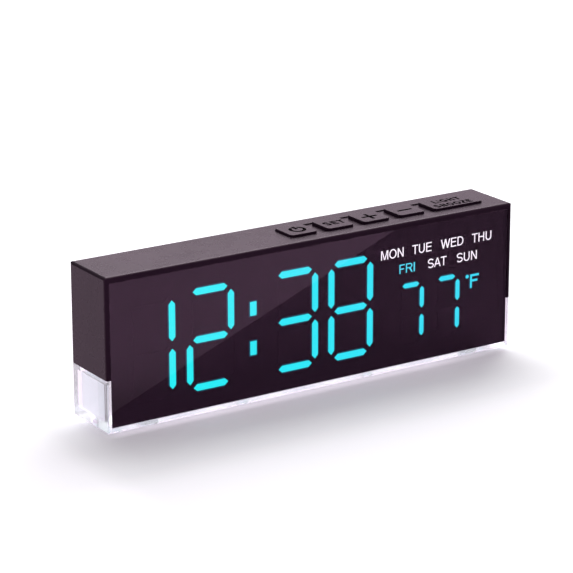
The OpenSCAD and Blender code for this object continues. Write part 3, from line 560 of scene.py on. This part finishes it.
def letter_loops(letter, w, t):
    """The outlines of a capital, w wide and 1 high, from strokes t thick; holes come after.
    All numbers are shares of its height or width."""
    h = 0.92 * t
    mid = 0.53
    if letter == "I":
        return [[(0, 0), (w, 0), (w, 1), (0, 1)]]
    if letter == "L":
        return [[(0, 0), (w, 0), (w, h), (t, h), (t, 1), (0, 1)]]
    if letter == "T":
        a, b = (w - t) / 2, (w + t) / 2
        return [[(a, 0), (b, 0), (b, 1 - h), (w, 1 - h), (w, 1), (0, 1), (0, 1 - h), (a, 1 - h)]]
    if letter in "EF":
        low = [(0, 0), (w, 0), (w, h), (t, h)] if letter == "E" else [(0, 0), (t, 0)]
        bar = w - 0.05 if letter == "E" else w - 0.09
        y = mid if letter == "E" else mid - 0.03
        return [[*low, (t, y - h / 2), (bar, y - h / 2), (bar, y + h / 2), (t, y + h / 2),
                 (t, 1 - h), (w, 1 - h), (w, 1), (0, 1)]]
    if letter == "H":
        a, b = mid - h / 2, mid + h / 2
        return [[(0, 0), (t, 0), (t, a), (w - t, a), (w - t, 0), (w, 0), (w, 1), (w - t, 1),
                 (w - t, b), (t, b), (t, 1), (0, 1)]]
    if letter == "N":
        q = 1.12 * t
        y = t / (w - q)
        return [[(0, 0), (t, 0), (t, 1 - y), (w - q, 0), (w, 0), (w, 1), (w - t, 1), (w - t, y),
                 (q, 1), (0, 1)]]
    if letter == "M":
        foot, drop, q = 0.55 * t, 1.05 * t, 1.5 * t
        y = 1 - (1 - drop) * (w / 2 - q) / (w / 2 - foot - t)
        return [[(0, 0), (t, 0), (t, 1 - drop), (w / 2 - foot, 0), (w / 2 + foot, 0),
                 (w - t, 1 - drop), (w - t, 0), (w, 0), (w, 1), (w - q, 1), (w / 2, y), (q, 1),
                 (0, 1)]]
    if letter == "W":
        q, x = 1.1 * t, 0.275 * w
        top = 1 - q / 2 / (w / 2 - x)
        y = q / (w / 2 - q / 2)
        inner = x + q / 2 - y * (x - q / 2)
        return [[(0, 1), (x - q / 2, 0), (x + q / 2, 0), (w / 2, top), (w - x - q / 2, 0),
                 (w - x + q / 2, 0), (w, 1), (w - q, 1), (w - inner, y), (w / 2 + q / 2, 1),
                 (w / 2 - q / 2, 1), (inner, y), (q, 1)]]
    if letter == "Z":
        q = 1.45 * t
        return [[(0, 0), (w, 0), (w, h), (q, h), (w, 1 - h), (w, 1), (0.04, 1), (0.04, 1 - h),
                 (w - q, 1 - h), (0, h)]]
    if letter == "A":
        q = 1.12 * t
        low, high = 0.27, 0.27 + h

        def inner(y):
            return q + (w / 2 - q) * y / (1 - h)

        return [[(0, 0), (q, 0), (inner(low) - 0.02, low), (w - inner(low) + 0.02, low),
                 (w - q, 0), (w, 0), (w / 2 + q / 2, 1), (w / 2 - q / 2, 1)],
                [(inner(high), high), (w / 2, 1 - h), (w - inner(high), high)]]
    if letter == "O":
        return [arc(w / 2, 0.5, w / 2, 0.515, 0, 352, 44),
                arc(w / 2, 0.5, w / 2 - 1.05 * t, 0.515 - h, 0, 352, 44)]
    if letter == "D":
        x = 0.42 * w
        return [[(0, 0), *arc(x, 0.5, w - x, 0.5, -90, 90, 20), (0, 1)],
                [(t, h), *arc(x, 0.5, w - x - t, 0.5 - h, -90, 90, 20), (t, 1 - h)]]
    if letter == "U":
        y = 0.37
        return [[(0, 1), *arc(w / 2, y, w / 2, y + 0.015, 180, 360, 20), (w, 1), (w - t, 1),
                 *arc(w / 2, y, w / 2 - t, y + 0.015 - h, 360, 180, 20), (t, 1)]]
    if letter == "R":
        x, y, r = 0.58 * w, 0.725, 0.275
        low = y - r
        return [[(0, 0), (t, 0), (t, low), (0.45 * w, low), (w - 1.2 * t, 0), (w, 0),
                 (0.70 * w, low + 0.02), *arc(x, y, w * 0.95 - x, r, -60, 90), (0, 1)],
                [(t, low + h), *arc(x, y, w * 0.95 - x - t, r - h, -90, 90), (t, 1 - h)]]
    if letter == "G":
        line = arc(w / 2, 0.5, w / 2 - t / 2, 0.515 - h / 2, 40, 305, 30)
        return [stroke([*line, (w - t / 2, 0.17), (w - t / 2, 0.47), (0.55 * w, 0.47)], t)]
    rx, ry = w / 2 - t / 2, (1.02 - h) / 4
    upper = arc(w / 2, 1.01 - h / 2 - ry, rx, ry, 22, 248, 22)
    lower = arc(w / 2, h / 2 - 0.01 + ry, rx, ry, 68, -158, 22)
    return [stroke(upper + lower, t)]


def words_mesh(words, width, height, low, high, thick):
    """Upright capitals as a solid between the heights low and high, round the origin.
    width and height are those of the ink, and thick the strokes', as a share of height."""
    loops, x = [], 0.0
    for letter in words:
        step, first, last = LETTERS[letter]
        for loop in letter_loops(letter, last - first, thick):
            loops.append([(x + first + px, py) for px, py in loop])
        x += step
    xs = [p[0] for loop in loops for p in loop]
    left, scale = min(xs), width / (max(xs) - min(xs))
    rings = [[((px - left) * scale - width / 2, (py - 0.5) * height, low) for px, py in loop]
             for loop in loops]
    return mesh_of(draw_out(rings, Z, high), "words")


# Weekday words

DAY_HEIGHT = 3.2
DAY_T = 0.12
DAY_STROKE = 0.122
# Height of both rows above the bottom of the case, in mm
UPPER_DAYS_Z, LOWER_DAYS_Z = 41.35, 35.35
# Each word's row, its middle in X and its width, in mm
DAYS = {
    "MON": (UPPER_DAYS_Z, 30.85, 9.2), "TUE": (UPPER_DAYS_Z, 43.1, 8.05),
    "WED": (UPPER_DAYS_Z, 55.8, 9.5), "THU": (UPPER_DAYS_Z, 68.35, 8.3),
    "FRI": (LOWER_DAYS_Z, 37.05, 6.35), "SAT": (LOWER_DAYS_Z, 49.6, 7.8),
    "SUN": (LOWER_DAYS_Z, 62.15, 8.5),
}
LIT_DAY = "FRI"


def make_days(finishes):
    """The weekday words, printed clear on the front of their windows."""
    front = box_mm("weekday_windows")[0][Y]
    for word, (z, x, width) in DAYS.items():
        mesh = words_mesh(word, width, DAY_HEIGHT, -DAY_T / 2, DAY_T / 2, DAY_STROKE)
        stand = Matrix.Translation(Vector((x, front, z + LIFT)) * MM)
        mesh.transform(stand @ Matrix.Rotation(pi / 2, 4, "X") @ Matrix.Scale(MM, 4))
        finish = finishes["word_cyan" if word == LIT_DAY else "word"]
        new_piece("day_" + word.lower(), mesh, "case", [finish])


# Keys

KEYS = ["power", "set", "plus", "minus", "snooze"]
# A cap's corner radius, and the rounding of its top edge, in mm
KEY_R = 1.2
KEY_EDGE, KEY_EDGE_STEPS = 0.2, 4
# The flange that holds a key in the case, heights in mm from the bottom of the case
FLANGE_EDGE = 0.6
FLANGE_LOW, FLANGE_TOP = 48.7, 49.7
# The post that presses the key's switch: radius, middle in Y and how far it reaches into the
# flange, in mm
POST_R, POST_SIDES = 2.0, 32
POST_Y = 0.3
POST_OVERLAP = 0.1
# Engraved legends: depth, how far their cutters stand out of the key, and the Z below which a
# face's normal belongs to a wall, which gets painted shade
LEGEND_DEPTH = 0.34
CUTTER_ABOVE = 1.0
WALL_SLOPE = 0.3
# Half the width of a mark and the thickness of its lines, in mm
MARK_R, MARK_T = 3.0, 1.2
# The power mark: half of its ring's gap in degrees, and where its line starts and ends
GAP_ANGLE = 26
LINE_START, LINE_END = 0.2, 3.3
# How far each mark sits from the middle of its key
MARK_SHIFT = {"power": (0.3, -0.35), "plus": (-0.1, -0.55), "minus": (-0.1, -0.5)}
LEGEND_STROKE = 0.26
# Each word's middle, from the middle of its key, and its width and height, in mm
KEY_WORDS = {
    "set": [("SET", 0.3, -0.3, 8.0, 3.7)],
    "snooze": [("LIGHT", -0.45, 1.7, 11.4, 3.2), ("SNOOZE", -0.9, -3.0, 15.4, 3.2)],
}


def key_middle(kind):
    (x0, y0, _), (x1, y1, _) = box_mm("key_" + kind)
    return (x0 + x1) / 2, (y0 + y1) / 2


def key_ring(kind, edge, z):
    """The outline of a key, made larger by edge, at a height."""
    (x0, y0, _), (x1, y1, _) = box_mm("key_" + kind)
    grow = 2 * (edge - FLANGE_EDGE)
    return [(x, y, z) for x, y in round_outline(
        x1 - x0 + grow, y1 - y0 + grow, KEY_R + edge, *key_middle(kind))]


def key_top(kind):
    return box_mm("key_" + kind)[1][Z] - LIFT


def key_blank(kind):
    """A key without its legend: flange, cap with rounded edges, and post."""
    bm = bmesh.new()
    edge_low = key_top(kind) - KEY_EDGE
    rings = [key_ring(kind, FLANGE_EDGE, FLANGE_LOW), key_ring(kind, FLANGE_EDGE, FLANGE_TOP),
             key_ring(kind, 0.0, FLANGE_TOP), key_ring(kind, 0.0, edge_low)]
    for k in range(1, KEY_EDGE_STEPS + 1):
        a = k / KEY_EDGE_STEPS * pi / 2
        rings.append(key_ring(kind, -KEY_EDGE * (1 - cos(a)), edge_low + KEY_EDGE * sin(a)))
    loft(bm, rings)
    x, _ = key_middle(kind)
    post_low = box_mm("key_" + kind)[0][Z] - LIFT
    angles = [2 * pi * k / POST_SIDES for k in range(POST_SIDES)]
    loft(bm, [[(x + POST_R * cos(a), POST_Y + POST_R * sin(a), z) for a in angles]
              for z in (post_low, FLANGE_LOW + POST_OVERLAP)])
    return mesh_of(bm, "key_" + kind)


def bar(bm, x0, y0, x1, y1, z0, z1):
    """A flat bar between two corners."""
    loft(bm, [[(x0, y0, z), (x1, y0, z), (x1, y1, z), (x0, y1, z)] for z in (z0, z1)])


def arc_bar(bm, radius, thick, first, last, z0, z1):
    """Part of a flat ring, from one angle to another."""
    angles = [first + (last - first) * k / ARC_STEPS for k in range(ARC_STEPS + 1)]
    outline = [(radius + thick / 2, a) for a in angles]
    outline += [(radius - thick / 2, a) for a in reversed(angles)]
    loft(bm, [[(r * cos(a), r * sin(a), z) for r, a in outline] for z in (z0, z1)])


def mark_mesh(kind):
    """The mark of a key as a cutter that stands through the key's top, round the origin."""
    z0, z1 = -LEGEND_DEPTH, CUTTER_ABOVE
    t = MARK_T / 2
    bm = bmesh.new()
    if kind == "power":
        arc_bar(bm, MARK_R - t, MARK_T, radians(90 + GAP_ANGLE), radians(450 - GAP_ANGLE), z0, z1)
        bar(bm, -t, LINE_START, t, LINE_END, z0, z1)
    elif kind == "plus":
        points = [(MARK_R, -t), (MARK_R, t), (t, t), (t, MARK_R), (-t, MARK_R), (-t, t),
                  (-MARK_R, t), (-MARK_R, -t), (-t, -t), (-t, -MARK_R), (t, -MARK_R), (t, -t)]
        loft(bm, [[(x, y, z) for x, y in points] for z in (z0, z1)])
    else:
        bar(bm, -MARK_R, -t, MARK_R, t, z0, z1)
    return mesh_of(bm, "mark")


def legend_meshes(kind):
    """The cutters of a key's words or mark, round the middle of its top."""
    if kind not in KEY_WORDS:
        mesh = mark_mesh(kind)
        mesh.transform(Matrix.Translation((*MARK_SHIFT[kind], 0.0)))
        return [mesh]
    meshes = []
    for words, x, y, width, height in KEY_WORDS[kind]:
        mesh = words_mesh(words, width, height, -LEGEND_DEPTH, CUTTER_ABOVE, LEGEND_STROKE)
        mesh.transform(Matrix.Translation((x, y, 0.0)))
        meshes.append(mesh)
    return meshes


def make_key(kind, finishes):
    """A key cap with its engraved legend, and painted shade on its walls."""
    blank = bpy.data.objects.new("blank", key_blank(kind))
    bpy.context.scene.collection.objects.link(blank)
    blank.data.materials.append(finishes["key"])
    cutters = []
    for mesh in legend_meshes(kind):
        mesh.materials.clear()
        mesh.materials.append(finishes["legend"])
        mesh.transform(Matrix.Translation((*key_middle(kind), key_top(kind))))
        cutter = bpy.data.objects.new("cutter", mesh)
        bpy.context.scene.collection.objects.link(cutter)
        cut = blank.modifiers.new("cut", "BOOLEAN")
        cut.object = cutter
        cut.operation = "DIFFERENCE"
        cut.solver = "EXACT"
        cut.material_mode = "TRANSFER"
        cutters.append(cutter)
    bpy.context.view_layer.update()
    mesh = applied(blank)
    mesh.transform(Matrix.Translation((0, 0, LIFT * MM)) @ Matrix.Scale(MM, 4))
    for thing in [blank, *cutters]:
        bpy.data.objects.remove(thing)
    # the cap's walls take the darker rim finish as painted shade
    top, wall = 0, 2
    indices = [wall if face.material_index == top and face.normal.z < WALL_SLOPE
               else face.material_index for face in mesh.polygons]
    key = new_piece("cap_" + kind, mesh, kind + "_key",
                    [finishes["key"], finishes["legend"], finishes["rim"]])
    for face, index in zip(key.data.polygons, indices):
        face.material_index = index
    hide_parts("key_" + kind)


# Front panel, its printed border and the lit segments

PANEL_ROOM = 0.03  # between the lens and what lies behind it, in mm
PANEL_EDGE = 0.12
# Outer and inner edge of the printed border: half the width, lower and upper height above the
# bottom of the case, in mm; and its depths
PRINT_OUT = (77.2, 3.2, 48.8)
PRINT_IN = (75.4, 4.9, 47.0)
PRINT_Y = (-9.80, -9.76)


def upright(loops, front, back):
    """Outlines in X and Z made solid between two depths, all in mm, as a mesh in metres."""
    bm = draw_out([[(x, front, z + LIFT) for x, z in loop] for loop in loops], Y, back)
    bmesh.ops.scale(bm, vec=(MM, MM, MM), verts=bm.verts)
    return bm


def frame_loop(half, low, high):
    """A rectangle in X and Z, as far to the left of the middle as to the right."""
    return [(-half, low), (half, low), (half, high), (-half, high)]


def make_panel(finishes):
    """The smoked panel with its polished edges, and the black border on its back."""
    (_, front, low), (half, back, high) = box_mm("front_panel")
    bm = upright([frame_loop(half, low - LIFT, high - LIFT)], front, back - PANEL_ROOM)
    bmesh.ops.dissolve_limit(bm, angle_limit=0.01, verts=bm.verts, edges=bm.edges)
    bmesh.ops.bevel(bm, geom=bm.edges[:], offset=PANEL_EDGE * MM, segments=2, profile=0.5,
                    affect="EDGES")
    panel = new_piece("panel_lens", mesh_of(bm, "panel_lens"), "case",
                      [finishes["lens"]])
    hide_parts("front_panel")
    bm = upright([frame_loop(*PRINT_OUT), frame_loop(*PRINT_IN)], *PRINT_Y)
    new_piece("panel_print", mesh_of(bm, "panel_print"), "case", [finishes["film"]])


# The lit marks in mm, as the mask's windows: heights from the bottom of the case. A numeral's
# X, width and rows are those of the middle lines of its segments.
FIRST_DIGIT_X, DIGIT_PITCH, COLON_ROOM = -70.925, 22.1177, 10.5
DIGIT_W, DIGIT_ROW, DIGITS_Z = 15.6177, 16.225, 25.3
SEGMENT_T, SEGMENT_GAP = 2.75, 1.2
FIRST_SMALL_X, SMALL_PITCH = 33.7709, 15.0645
SMALL_W, SMALL_ROW, TEMPERATURE_Z = 9.2145, 9.925, 19.275
SMALL_T, SMALL_GAP = 2.1, 1.05
# A segment's tip: its length as a share of half the thickness, how much of an inset it moves
# by, and its rounding
TIP_SHARE = 1.1
TIP_INSET_SHARE = 0.45
TIP_R = 0.05
TIME, TEMPERATURE = (1, 2, 3, 8), (7, 7)
COLON = (2.9, 5.2, 13.5154)  # width and height of a dot, and the distance between the two
COLON_R = 0.3
DEGREE = (62.15, 28.1, 0.68)  # middle and radius
DEGREE_INSET = 0.04
F_X, F_TOP, F_W, F_H, F_STROKE, F_BAR_W, F_BAR_Z = 63.4, 28.65, 3.75, 4.9, 0.82, 3.15, 25.95
# The dim edge and the bright middle of the marks: depths, how far they reach out of a window
# or stay inside it, and how far to the right the middle sits
HALO_Y, GLOW_Y = (-9.65, -9.61), (-9.70, -9.66)
HALO_REACH = 0.20
GLOW_INSET = 0.22
GLOW_SHIFT = 0.07
ROUND_STEPS = 4
ROUND_SHARE = 0.45  # the most that a rounding takes of an edge
NUMERALS = {1: "bc", 2: "abdeg", 3: "abcdg", 7: "abc", 8: "abcdefg"}


def rounded(points, radius):
    """A loop with its corners rounded."""
    made = []
    count = len(points)
    for i, corner in enumerate(points):
        corner = Vector(corner)
        a = Vector(points[i - 1]) - corner
        b = Vector(points[(i + 1) % count]) - corner
        reach = radius / tan(a.angle(b) / 2)
        reach = min(reach, a.length * ROUND_SHARE, b.length * ROUND_SHARE)
        first = corner + a.normalized() * reach
        last = corner + b.normalized() * reach
        for k in range(ROUND_STEPS + 1):
            t = k / ROUND_STEPS
            made.append(tuple(first * (1 - t) ** 2 + corner * (2 * t * (1 - t)) + last * t * t))
    return made


def segment_loop(x, z, upright_one, long, thick, inset):
    """The outline of a segment with pointed ends, lying or upright, round (x, z)."""
    half, side = long / 2 - TIP_INSET_SHARE * inset, thick / 2 - inset
    shoulder = half - side * TIP_SHARE
    points = [(-half, 0), (-shoulder, -side), (shoulder, -side), (half, 0), (shoulder, side),
              (-shoulder, side)]
    if upright_one:
        points = [(-v, u) for u, v in points]
    return rounded([(x + u, z + v) for u, v in points], TIP_R)


def digit_loops(numeral, x, z, w, row, thick, gap, inset):
    """The outlines of a numeral's segments; a spot is a segment's place and if it's upright."""
    spots = {"a": (w / 2, row, 0), "b": (w, row / 2, 1), "c": (w, -row / 2, 1),
             "d": (w / 2, -row, 0), "e": (0, -row / 2, 1), "f": (0, row / 2, 1),
             "g": (w / 2, 0, 0)}
    return [segment_loop(x + spots[s][0], z + spots[s][1], spots[s][2],
                         (row if spots[s][2] else w) - 2 * gap, thick, inset)
            for s in NUMERALS[numeral]]


def display_loops(inset):
    """The outlines of all lit marks, inset from the windows of the mask."""
    loops = []
    for k, numeral in enumerate(TIME):
        x = FIRST_DIGIT_X + k * DIGIT_PITCH + (COLON_ROOM if k > 1 else 0.0)
        loops += digit_loops(numeral, x, DIGITS_Z, DIGIT_W, DIGIT_ROW, SEGMENT_T, SEGMENT_GAP,
                             inset)
    for k, numeral in enumerate(TEMPERATURE):
        loops += digit_loops(numeral, FIRST_SMALL_X + k * SMALL_PITCH, TEMPERATURE_Z, SMALL_W,
                             SMALL_ROW, SMALL_T, SMALL_GAP, inset)
    w, h, step = COLON
    x = FIRST_DIGIT_X + DIGIT_PITCH + (DIGIT_PITCH + COLON_ROOM + DIGIT_W) / 2
    w, h = w / 2 - inset, h / 2 - inset
    for z in (DIGITS_Z - step / 2, DIGITS_Z + step / 2):
        dot = [(x - w, z - h), (x + w, z - h), (x + w, z + h), (x - w, z + h)]
        loops.append(rounded(dot, COLON_R))
    x, z, r = DEGREE
    inset = min(inset, DEGREE_INSET)
    loops.append(arc(x, z, r - inset, r - inset, 0, 348, 29))
    x, low, t = F_X + inset, F_TOP - F_H + inset, F_STROKE - 2 * inset
    bar, top = F_BAR_Z + inset, F_TOP - inset
    loops.append([(x, low), (x + t, low), (x + t, bar), (F_X + F_BAR_W - inset, bar),
                  (F_X + F_BAR_W - inset, bar + t), (x + t, bar + t), (x + t, top - t),
                  (F_X + F_W - inset, top - t), (F_X + F_W - inset, top), (x, top)])
    return loops


def make_segments(finishes):
    """The lit marks as they show on the mask: bright, with a narrow dim edge of stray light."""
    dim = upright(display_loops(-HALO_REACH), *HALO_Y)
    edges = len(dim.faces)
    bright = upright(display_loops(GLOW_INSET), *GLOW_Y)
    bmesh.ops.translate(bright, vec=(GLOW_SHIFT * MM, 0.0, 0.0), verts=bright.verts)
    mesh = mesh_of(bright, "bright")
    dim.from_mesh(mesh)
    bpy.data.meshes.remove(mesh)
    lit = new_piece("segments_glow", mesh_of(dim, "segments_glow"), "case",
                    [finishes["cyan"], finishes["halo"]])
    for i, face in enumerate(lit.data.polygons):
        face.material_index = 1 if i < edges else 0


# Stage, in metres unless said otherwise

FLOOR_R, FLOOR_SIDES = 1.4, 96
FLOOR_SHADE = (0.80, 0.810, 0.812)
FLOOR_TINT = (0.91, 0.785, 0.95)
# Strength of the floor's glow near the clock, and between which distances it rises to 1
FLOOR_GLOW = 0.20
FLOOR_FADE = (0.2, 0.5)
# The floor as glossy things mirror it
MIRRORED_SHADE = (0.79, 0.60, 0.74)
MIRRORED_TINT = (0.78, 0.73, 0.76)
# Where the shadow fades out before the clock and to its left, and what is added beyond
SHADOW_END_Y = (-0.044, -0.056, 0.0, 0.075)
SHADOW_END_X = (-0.092, -0.101, 0.0, 0.085)
# Light of the base: reach in Y, fade at the left and the right end in X, and strength
BASE_LIGHT = [
    (-0.027, -0.013, (-0.075, -0.045), (0.072, 0.045), 0.10),
    (-0.0152, -0.0125, (-0.0815, -0.076), (0.085, 0.045), 0.18),
]
# The card: height above the floor and corners in mm, fade along X, and its light at both ends
CARD_Z = 0.2
CARD = [(-90, -13), (-90, -15.6), (420, -329.5), (420, -13)]
CARD_SPAN = (-0.08, 0.20)
CARD_SHADE = (0.33, 0.16)
CARD_TINT = (1.0, 0.6, 1.0)
WORLD_DIFFUSE = 0.45
WORLD_MIRRORED = (1.0, 0.82, 0.95)
KEY_LIGHT_AT = (0.30, 0.50, 0.72)
KEY_LIGHT_SIZE = (0.8, 0.7)
KEY_LIGHT_POWER = 10.0


def sheet(name, corners, material):
    """A flat object of one face."""
    bm = bmesh.new()
    bm.faces.new([bm.verts.new(corner) for corner in corners])
    mesh = bpy.data.meshes.new(name)
    bm.to_mesh(mesh)
    bm.free()
    mesh.materials.append(material)
    flat = bpy.data.objects.new(name, mesh)
    bpy.context.scene.collection.objects.link(flat)
    return flat


def seen_rays(tree, rays):
    """1 for rays of the camera, mirrored ones and those through clear things, 0 for others."""
    seen = math_node(tree, "MAXIMUM", rays.outputs["Is Camera Ray"], rays.outputs["Is Glossy Ray"])
    return math_node(tree, "MAXIMUM", seen, rays.outputs["Is Transmission Ray"])


def base_light(tree, x, y, far, near, left, right, level):
    """Light of the base on the floor before it, faded outwards and at both ends."""
    across = math_node(tree, "MINIMUM", span(tree, x, *left, 0.0, level),
                       span(tree, x, *right, 0.0, level))
    return math_node(tree, "MULTIPLY", across, span(tree, y, far, near, 0.0, 1.0))


def floor_level(tree):
    """Strength of the floor's glow at each place."""
    length = tree.nodes.new("ShaderNodeVectorMath")
    length.operation = "LENGTH"
    tree.links.new(place(tree), length.inputs[0])
    x, y = coordinate(tree, "X"), coordinate(tree, "Y")
    level = span(tree, length.outputs["Value"], *FLOOR_FADE, FLOOR_GLOW, 1.0)
    level = math_node(tree, "ADD", level, span(tree, y, *SHADOW_END_Y))
    level = math_node(tree, "ADD", level, span(tree, x, *SHADOW_END_X))
    for light in BASE_LIGHT:
        level = math_node(tree, "ADD", level, base_light(tree, x, y, *light))
    return level


def floor_material():
    """Pale floor: keeps its shadow near the object and fades into the white background."""
    material, tree, shader = new_material("floor")
    tree.nodes.remove(shader)
    diffuse = tree.nodes.new("ShaderNodeBsdfDiffuse")
    glow = tree.nodes.new("ShaderNodeEmission")
    rays = tree.nodes.new("ShaderNodeLightPath")
    mirrored = rays.outputs["Is Glossy Ray"]
    tree.links.new(ramp(tree, mirrored, 0.0, 1.0, FLOOR_SHADE, MIRRORED_SHADE),
                   diffuse.inputs["Color"])
    tree.links.new(ramp(tree, mirrored, 0.0, 1.0, FLOOR_TINT, MIRRORED_TINT),
                   glow.inputs["Color"])
    tree.links.new(math_node(tree, "MULTIPLY", seen_rays(tree, rays), floor_level(tree)),
                   glow.inputs["Strength"])
    both = tree.nodes.new("ShaderNodeAddShader")
    tree.links.new(diffuse.outputs["BSDF"], both.inputs[0])
    tree.links.new(glow.outputs["Emission"], both.inputs[1])
    # seen from below, the floor isn't there
    below = tree.nodes.new("ShaderNodeNewGeometry")
    clear = tree.nodes.new("ShaderNodeBsdfTransparent")
    mix = tree.nodes.new("ShaderNodeMixShader")
    tree.links.new(below.outputs["Backfacing"], mix.inputs["Fac"])
    tree.links.new(both.outputs["Shader"], mix.inputs[1])
    tree.links.new(clear.outputs["BSDF"], mix.inputs[2])
    tree.links.new(mix.outputs["Shader"], tree.nodes["Material Output"].inputs["Surface"])
    return material


def make_floor():
    angles = [2 * pi * k / FLOOR_SIDES for k in range(FLOOR_SIDES)]
    corners = [(FLOOR_R * cos(a), FLOOR_R * sin(a), 0.0) for a in angles]
    floor = sheet("floor", corners, floor_material())


def card_material():
    """A faint light that weakens from left to right."""
    material, tree, shader = new_material("card")
    tree.nodes.remove(shader)
    glow = tree.nodes.new("ShaderNodeEmission")
    glow.inputs["Color"].default_value = (*CARD_TINT, 1.0)
    level = span(tree, coordinate(tree, "X"), *CARD_SPAN, *CARD_SHADE)
    tree.links.new(level, glow.inputs["Strength"])
    tree.links.new(glow.outputs["Emission"], tree.nodes["Material Output"].inputs["Surface"])
    return material


def make_card():
    """A dark card that lies before the clock and shows only in its reflections."""
    corners = [(x * MM, y * MM, CARD_Z * MM) for x, y in CARD]
    card = sheet("card", corners, card_material())
    card.visible_camera = False
    card.visible_diffuse = False
    card.visible_transmission = False
    card.visible_shadow = False
    card.visible_volume_scatter = False


def make_world():
    """White to the camera, pinkish in what is glossy, and weaker as a light."""
    world = bpy.data.worlds.new("world")
    bpy.context.scene.world = world
    world.use_nodes = True
    tree = world.node_tree
    background = tree.nodes["Background"]
    rays = tree.nodes.new("ShaderNodeLightPath")
    level = span(tree, seen_rays(tree, rays), 0.0, 1.0, WORLD_DIFFUSE, 1.0)
    tint = ramp(tree, rays.outputs["Is Glossy Ray"], 0.0, 1.0, WHITE, WORLD_MIRRORED)
    tree.links.new(tint, background.inputs["Color"])
    tree.links.new(level, background.inputs["Strength"])


def make_light():
    """One soft lamp behind the clock and to its right, aimed at the floor below it."""
    data = bpy.data.lights.new("key_light", "AREA")
    data.shape = "RECTANGLE"
    data.size, data.size_y = KEY_LIGHT_SIZE
    data.energy = KEY_LIGHT_POWER
    light = bpy.data.objects.new("key_light", data)
    light.location = KEY_LIGHT_AT
    light.rotation_mode = "QUATERNION"
    light.rotation_quaternion = (-Vector(KEY_LIGHT_AT)).to_track_quat("-Z", "Y")
    bpy.context.scene.collection.objects.link(light)


# Build

make_camera()
finishes = make_materials()
dress_nodes(finishes)
paint_case_shade(finishes)
make_days(finishes)
for kind in KEYS:
    make_key(kind, finishes)
make_panel(finishes)
make_segments(finishes)
make_floor()
make_card()
make_world()
make_light()

bpy.context.scene.view_settings.view_transform = "Standard"
